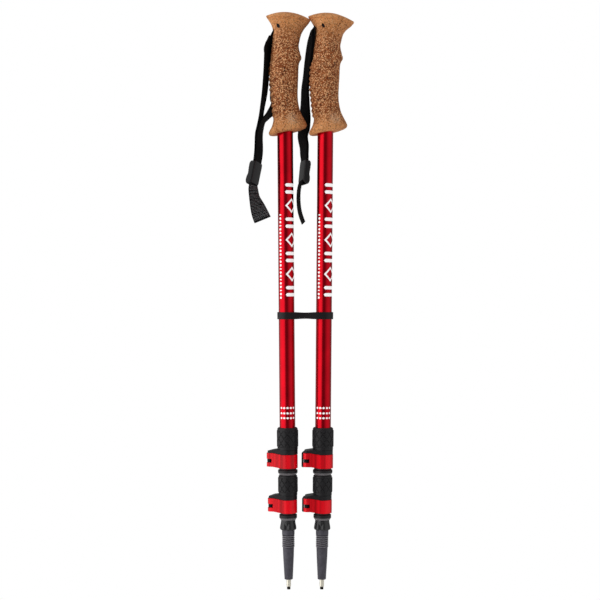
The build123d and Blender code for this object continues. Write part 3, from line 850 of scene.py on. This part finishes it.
# Turned plastic: profiles of radius and height.
TIP_RIB_COUNT, TIP_RIB_FIRST, TIP_RIB_STEP = 6, 48.6, 2.35
TIP_RIB = ((5.6, 0.15), (7.08, 0.2), (7.12, 1.15), (5.6, 1.2))
TIP_PROFILE = (
    (2.55, 11.6),
    (4.5, 11.6),
    (4.75, 11.9),
    (6.1, 38.0),
    (6.45, 48.0),
    (5.9, TIP_RIB_FIRST),
    (5.9, 62.5),
    (7.2, 62.6),
    (7.2, 68.5),
    (7.9, 68.5),
    (7.9, 76.0),
    (7.0, 76.0),
    (7.0, 66.0),
    (2.55, 66.0),
)
GROOVE_LOW, GROOVE_HIGH = 49.9, 62.45
# A black ring over the groove floors between the tip's ribs: painted shade in the grooves.
GROOVE_SHADE_PROFILE = ((5.5, GROOVE_LOW), (6.03, GROOVE_LOW), (6.03, GROOVE_HIGH), (5.5, GROOVE_HIGH))
# The painted highlights on the clamps' lips, lighter grey rings on each lip's lower cone: the lip's inner
# and outer radius and its height, and the section that carries it.
LIP_HIGHLIGHT_RINGS = {"upper": (8.1, 11.2, 131.3, "upper_sections"), "lower": (7.1, 10.1, 79.8, "middle_section")}


def turned(name, pole, profile, material, body):
    """A ring made by turning a closed profile of radii and heights."""
    mesh = rings_mesh(name, pole.place, [circle(r, z, 72) for r, z in profile], closed=True)
    return finished(name, mesh, MATERIALS[material], body)


def ferrule_piece(pole):
    """The plastic tip, with sharp ribs under its neck painted paler as a highlight, a black ring painted as
    shade in the grooves between them, and a long taper.
    """
    name, body = pole.name, f"{pole.name}_lower_section"
    piece = turned(f"{name}_ribbed_tip", pole, TIP_PROFILE, "grey_plastic", body)
    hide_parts(f"{name}_tip_ferrule")
    turned(f"{name}_rib_grooves", pole, GROOVE_SHADE_PROFILE, "black_plastic", body)
    ribs = [(5.5, TIP_RIB_FIRST + 0.1)]
    for i in range(TIP_RIB_COUNT):
        ribs += [(r, TIP_RIB_FIRST + TIP_RIB_STEP * i + rise) for r, rise in TIP_RIB]
    ribs.append((5.5, ribs[-1][1] + 0.05))
    turned(f"{name}_tip_ribs", pole, ribs, "lit_rib_plastic", body)


COLLAR_LOW, COLLAR_HIGH, COLLAR_BORE = 68.5, 79.5, 7.1
COLLAR_WIDEST, COLLAR_TAPER, COLLAR_WALL_FROM = 9.45, 1.25, 8.0
COLLAR_LAYERS, COLLAR_POINTS = 24, 144
DIMPLE_DEPTH, DIMPLE_TURN = 1.15, math.radians(18)


def collar_radius(z):
    """The collar's radius between its dimples, rounded off at both edges."""
    radius = COLLAR_WIDEST - COLLAR_TAPER * smoothstep(0.0, 1.0, (z - 69.9) / 9.0)
    radius -= 0.7 * (1 - smoothstep(COLLAR_LOW, 69.6, z))
    return radius - 0.6 * smoothstep(78.7, COLLAR_HIGH, z)


def collar_piece(pole):
    """The flared collar, with six pressed dimples that scallop its lower edge."""
    rings = []
    for layer in range(COLLAR_LAYERS + 1):
        z = COLLAR_LOW + (COLLAR_HIGH - COLLAR_LOW) * layer / COLLAR_LAYERS
        ring = []
        for a in turns(COLLAR_POINTS):
            dimple = max(0.0, math.cos(3 * (a - DIMPLE_TURN))) ** 2 * (1 - smoothstep(75.5, 78.5, z))
            r = max(collar_radius(z) - DIMPLE_DEPTH * dimple, COLLAR_WALL_FROM)
            ring.append((r * math.cos(a), r * math.sin(a), z))
        rings.append(ring)
    rings += [circle(COLLAR_BORE, z, COLLAR_POINTS) for z in (COLLAR_HIGH, COLLAR_LOW)]
    mesh = rings_mesh(f"{pole.name}_dimpled_collar", pole.place, rings, closed=True)
    body = f"{pole.name}_lower_section"
    piece = finished(mesh.name, mesh, MATERIALS["collar_plastic"], body)
    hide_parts(f"{pole.name}_basket_collar")


def lip_highlight_pieces(pole):
    """Lighter grey rings on the undersides of the clamps' lips: a painted highlight where the lower cone
    catches light from below.
    """
    for level, (inner, outer, low, body) in LIP_HIGHLIGHT_RINGS.items():
        under = [(inner + 1.3, low + 0.1), (inner + 1.5, low - 0.12)]
        rim = [(outer + 0.08, low + 2.5), (outer - 0.5, low + 2.8)]
        name = f"{pole.name}_{level}_lip_ring"
        turned(name, pole, under + rim, "lip_highlight_plastic", body_of(pole, body))


# Plain printed marks, by heights up the tube and places round it from a line MARK_TURN from the front.
MARK_TURN = math.radians(48)
MARK_LIFT, MARK_SINK = 0.05, -0.1
MARK_WIDTH, MARK_STROKE, MARK_STRIPS = 16.0, 2.6, 14
STRIPE_PAIRS, STRIPE_STEP, STRIPE_HEIGHT = (462.0, 423.0, 384.0, 345.0), 8.0, 3.8
DIAMONDS, DIAMOND_HEIGHT = (438.5, 399.5, 360.5), 17.0
TICK_COUNT, TICK_TOP, TICK_STEP, TICK_PLACE, TICK_WIDTH = 24, 428.0, 4.1, -14.4, 2.8
DASH_ROWS, DASH_COUNT, DASH_FIRST, DASH_STEP, DASH_SIZE = (208.0, 202.0, 196.5), 5, -15.0, 3.9, (2.7, 2.2)


def marks():
    """Generic stripes and open diamonds, ticks beside them and three rows of dashes above the sleeve."""
    found = []
    for z in STRIPE_PAIRS:
        found += [bar(0.0, low, MARK_WIDTH, STRIPE_HEIGHT) for low in (z, z - STRIPE_STEP)]
    for z in DIAMONDS:
        found += open_diamond(0.0, z, MARK_WIDTH, DIAMOND_HEIGHT)
    for i in range(TICK_COUNT):
        found.append(bar(TICK_PLACE, TICK_TOP - TICK_STEP * i, TICK_WIDTH, 2.6 if i % 3 else 1.4))
    for z in DASH_ROWS:
        found += [bar(DASH_FIRST + DASH_STEP * i, z, *DASH_SIZE) for i in range(DASH_COUNT)]
    return found


def bar(across, z, width, height):
    """The outline of a rounded bar."""
    ring = rounded_box_ring(width / 2, -height / 2, height / 2, min(height, width) / 2 - 0.02, 7)
    return [(across + u, z + v) for u, v in ring]


def open_diamond(across, z, width, height):
    """The outlines of the four strokes of a diamond."""
    outer = ((width / 2, 0), (0, height / 2))
    inner = ((0, height / 2 - MARK_STROKE), (width / 2 - MARK_STROKE, 0))
    found = []
    for right in (-1, 1):
        for up in (-1, 1):
            found.append([(across + right * u, z + up * v) for u, v in outer + inner])
    return found


def mark_pieces(pole):
    """The marks, each a thin skin that follows the tube."""
    shape = bmesh.new()
    for outline in marks():
        for lift, flip in ((MARK_LIFT, False), (MARK_SINK, True)):
            add_wrapped(shape, pole, outline, lift, flip)
    bmesh.ops.remove_doubles(shape, verts=shape.verts, dist=1e-7)
    mesh = bpy.data.meshes.new(f"{pole.name}_tube_marks")
    shape.to_mesh(mesh)
    shape.free()
    finished(mesh.name, mesh, MATERIALS["white_ink"], "upper_sections")


def add_wrapped(shape, pole, outline, lift, flip):
    """One face of a mark, cut into upright strips so that it follows the tube's curve."""
    left = min(u for u, _ in outline)
    right = max(u for u, _ in outline)
    columns = []
    for i in range(MARK_STRIPS + 1):
        u = left + (right - left) * i / MARK_STRIPS
        crossings = outline_heights(outline, u)
        columns.append([(u, min(crossings)), (u, max(crossings))])
    for a, b in zip(columns, columns[1:]):
        corners = []
        for u, v in (a[0], b[0], b[1], a[1]):
            turn = MARK_TURN + u / TUBE_R
            r = TUBE_R + lift
            corners.append(shape.verts.new(pole.place(r * math.sin(turn), -r * math.cos(turn), v)))
        shape.faces.new(corners[::-1] if flip else corners)


def outline_heights(outline, u):
    """Where an upright line at u meets an outline."""
    found = []
    for (u0, v0), (u1, v1) in zip(outline, outline[1:] + outline[:1]):
        low, high = min(u0, u1), max(u0, u1)
        if low - 1e-9 <= u <= high + 1e-9:
            t = 0.5 if high - low < 1e-9 else (u - u0) / (u1 - u0)
            found.append(v0 + (v1 - v0) * t)
    return found


# The tie round both tubes.
TIE_LOW, TIE_WIDTH, TIE_THICKNESS = 309.0, 8.2, 1.5
TIE_CLEARANCE = 0.12
TIE_BEND_STEPS, TIE_SPAN_STEPS = 26, 22
TIE_NARROWING, TIE_DIP, TIE_RIPPLE = 0.16, 1.1, 0.14


def in_model(x, y, z):
    """A point in millimetres from the hold point, in metres."""
    return Vector((x, y, z)) * MM


def tie_path(half_gap):
    """The tie's inner line round both tubes: x and y, and the direction away from it."""
    inner = TUBE_R + TIE_CLEARANCE
    path = []
    for side in (1, -1):
        for i in range(TIE_BEND_STEPS + 1):
            a = math.radians(-90 * side + 180 * i / TIE_BEND_STEPS)
            nx, ny = math.cos(a), math.sin(a)
            path.append((side * half_gap + inner * nx, inner * ny, nx, ny))
        for i in range(1, TIE_SPAN_STEPS):
            x = side * (half_gap - 2 * half_gap * i / TIE_SPAN_STEPS)
            path.append((x, side * inner, 0.0, float(side)))
    return path


def tie_piece():
    """An elastic band round both tubes, pinched where it spans the gap."""
    middle = TIE_LOW + TIE_WIDTH / 2
    half_gap = (TIP_SPACING + SPACING_PER_MM * middle) / 2
    rings = []
    for x, y, nx, ny in tie_path(half_gap):
        pinch = 1 - smoothstep(0.0, half_gap - 5, abs(x))
        half_width = TIE_WIDTH / 2 * (1 - TIE_NARROWING * pinch)
        ring = []
        for v, w in rounded_box_ring(half_width, 0.0, TIE_THICKNESS, 0.6, 6):
            ripple = TIE_RIPPLE * math.sin(v * 2.6) * (0.3 + 0.7 * pinch)
            lift = w + (ripple if w > TIE_THICKNESS / 2 else 0.0) - TIE_DIP * pinch
            ring.append((x + nx * lift, y + ny * lift, middle - HOLD_HEIGHT + v))
        rings.append(ring)
    mesh = rings_mesh("tie_strap", in_model, rings, closed=True)
    piece = finished(mesh.name, mesh, MATERIALS["rubber"], "upper_sections")
    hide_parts("tie_band")


# CAD nodes that keep their shape: what each is made of, and how far its edges are rounded.
NODE_LOOKS = {
    "upper_tube": ("red_anodised", 0),
    "middle_tube": ("dark_anodised", 0),
    "lower_tube": ("dark_anodised", 0),
    "upper_clamp": ("black_plastic", 0.25),
    "lower_clamp": ("black_plastic", 0.25),
    "upper_lever": ("lever_red", 0.45),
    "lower_lever": ("lever_red", 0.45),
    "tip_holder": ("holder_steel", 0.15),
    "carbide_tip": ("carbide", 0.1),
    "strap_pin": ("dark_steel", 0.2),
    "clamp_bolt": ("dark_steel", 0.15),
    "pressure_plate": ("steel", 0.15),
    "clamp_nut": ("steel", 0.25),
    "lever_pin": ("dark_steel", 0.15),
    "tube_plug": ("black_plastic", 0.2),
    "middle_bushing": ("black_plastic", 0.2),
    "lower_bushing": ("black_plastic", 0.2),
}


REPLACED_LOOK = ("webbing", 0)
WELD_DISTANCE = 1e-6
BEVEL_ANGLE = math.radians(38)


def look_of(node):
    """The look under the longest key that ends a node's name. Replaced nodes have none."""
    keys = [key for key in NODE_LOOKS if node.endswith(key)]
    return NODE_LOOKS[max(keys, key=len)] if keys else REPLACED_LOOK


def dress_nodes():
    """Give each CAD node its material, and round its edges a little."""
    for name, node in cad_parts.items():
        look, rounding = look_of(name)
        node.data.materials.clear()
        node.data.materials.append(MATERIALS[look])
        if rounding:
            weld = node.modifiers.new("weld", "WELD")
            weld.merge_threshold = WELD_DISTANCE
            bevel = node.modifiers.new("bevel", "BEVEL")
            bevel.width = rounding * MM
            bevel.segments = 2
            bevel.limit_method = "ANGLE"
            bevel.angle_limit = BEVEL_ANGLE
            even = node.modifiers.new("even", "WEIGHTED_NORMAL")
            even.keep_sharp = True


# Camera, light and floor.
VIEW_DISTANCE = 1.4
VIEW_WIDTH = 0.687
SENSOR = 36.0
VIEW_HEIGHT = 331.0
VIEW_CENTRE = Vector((-0.006, 0.0, (VIEW_HEIGHT - HOLD_HEIGHT) * MM))


def add_camera():
    """Straight from the front, level with the middle of the poles."""
    data = bpy.data.cameras.new("camera")
    data.sensor_width = SENSOR
    data.lens = SENSOR * VIEW_DISTANCE / VIEW_WIDTH
    camera = bpy.data.objects.new("camera", data)
    camera.location = VIEW_CENTRE - Vector((0, VIEW_DISTANCE, 0))
    camera.rotation_euler = (math.pi / 2, 0, 0)
    bpy.context.scene.collection.objects.link(camera)
    bpy.context.scene.camera = camera


# Light from all round: azimuth, 0 in front of the poles and growing towards +X, and brightness.
SURROUND = (
    (-180, 0.30),
    (-122, 0.30),
    (-112, 1.15),
    (-70, 1.55),
    (-32, 1.35),
    (-20, 0.17),
    (16, 0.17),
    (26, 0.42),
    (60, 0.75),
    (98, 0.62),
    (112, 0.25),
    (180, 0.30),
)
SURROUND_PEAK = 1.6
GROUND_LEVEL, GROUND_FROM, GROUND_TO = 0.55, -0.25, -0.55
FLOOR_RADIUS, FLOOR_HEIGHT = 1.5, -1.26


def add_world():
    """White where it is seen. As light it is a studio: a bright left, a softer right and a dark front."""
    world = bpy.data.worlds.new("studio")
    bpy.context.scene.world = world
    world.use_nodes = True
    nodes, links = world.node_tree.nodes, world.node_tree.links
    below = nodes.new("ShaderNodeMapRange")
    below.inputs["From Min"].default_value = GROUND_FROM
    below.inputs["From Max"].default_value = GROUND_TO
    split = nodes.new("ShaderNodeSeparateXYZ")
    links.new(nodes.new("ShaderNodeTexCoord").outputs["Generated"], split.inputs["Vector"])
    away = nodes.new("ShaderNodeMath")
    away.operation = "MULTIPLY"
    away.inputs[1].default_value = -1.0
    links.new(split.outputs["Y"], away.inputs[0])
    azimuth = nodes.new("ShaderNodeMath")
    azimuth.operation = "ARCTAN2"
    links.new(split.outputs["X"], azimuth.inputs[0])
    links.new(away.outputs["Value"], azimuth.inputs[1])
    place = nodes.new("ShaderNodeMapRange")
    place.inputs["From Min"].default_value = -math.pi
    place.inputs["From Max"].default_value = math.pi
    links.new(azimuth.outputs["Value"], place.inputs["Value"])
    ramp = nodes.new("ShaderNodeValToRGB")
    stops = [((turn + 180) / 360, level / SURROUND_PEAK) for turn, level in SURROUND]
    for i, (position, level) in enumerate(stops):
        last = i == len(stops) - 1
        stop = ramp.color_ramp.elements[-1] if last else ramp.color_ramp.elements[0]
        if 0 < i and not last:
            stop = ramp.color_ramp.elements.new(position)
        stop.position = position
        stop.color = (level, level, level, 1)
    links.new(place.outputs["Result"], ramp.inputs["Fac"])
    links.new(split.outputs["Z"], below.inputs["Value"])
    ground = nodes.new("ShaderNodeMix")
    ground.data_type = "RGBA"
    ground.inputs[7].default_value = (GROUND_LEVEL, GROUND_LEVEL, GROUND_LEVEL, 1)
    links.new(below.outputs["Result"], ground.inputs["Factor"])
    links.new(ramp.outputs["Color"], ground.inputs[6])
    path = nodes.new("ShaderNodeLightPath")
    strength = nodes.new("ShaderNodeMapRange")
    strength.inputs["To Min"].default_value = SURROUND_PEAK
    strength.inputs["To Max"].default_value = 1.0
    links.new(path.outputs["Is Camera Ray"], strength.inputs["Value"])
    shade = nodes.new("ShaderNodeMix")
    shade.data_type = "RGBA"
    shade.inputs[7].default_value = (1, 1, 1, 1)
    links.new(path.outputs["Is Camera Ray"], shade.inputs["Factor"])
    links.new(ground.outputs[2], shade.inputs[6])
    links.new(shade.outputs[2], nodes["Background"].inputs["Color"])
    links.new(strength.outputs["Result"], nodes["Background"].inputs["Strength"])


def add_floor():
    """A pale disc, far enough below for the poles to be pulled right out above it."""
    shape = bmesh.new()
    bmesh.ops.create_circle(shape, cap_ends=True, segments=96, radius=FLOOR_RADIUS)
    mesh = bpy.data.meshes.new("floor")
    shape.to_mesh(mesh)
    shape.free()
    floor = bpy.data.objects.new("floor", mesh)
    floor.location = (0, 0, FLOOR_HEIGHT)
    bpy.context.scene.collection.objects.link(floor)
    paint = Paint("floor", (0.82, 0.82, 0.82), 0.7)
    shades = ((0.3, (0.80, 0.80, 0.80)), (0.7, (0.84, 0.84, 0.84)))
    paint.feed("Base Color", paint.ramp(paint.noise(6.0), *shades))
    mesh.materials.append(paint.material)


add_camera()
add_world()
add_floor()
dress_nodes()
for pole in POLES.values():
    grip_piece(pole)
    pin_ends_and_recess_shade(pole)
    strap_pieces(pole)
    mark_pieces(pole)
    ferrule_piece(pole)
    collar_piece(pole)
    lip_highlight_pieces(pole)
    for level, sleeve in SLEEVES.items():
        diamond_sleeve(pole, level, **sleeve)
tie_piece()

bpy.context.scene.view_settings.view_transform = "Standard"
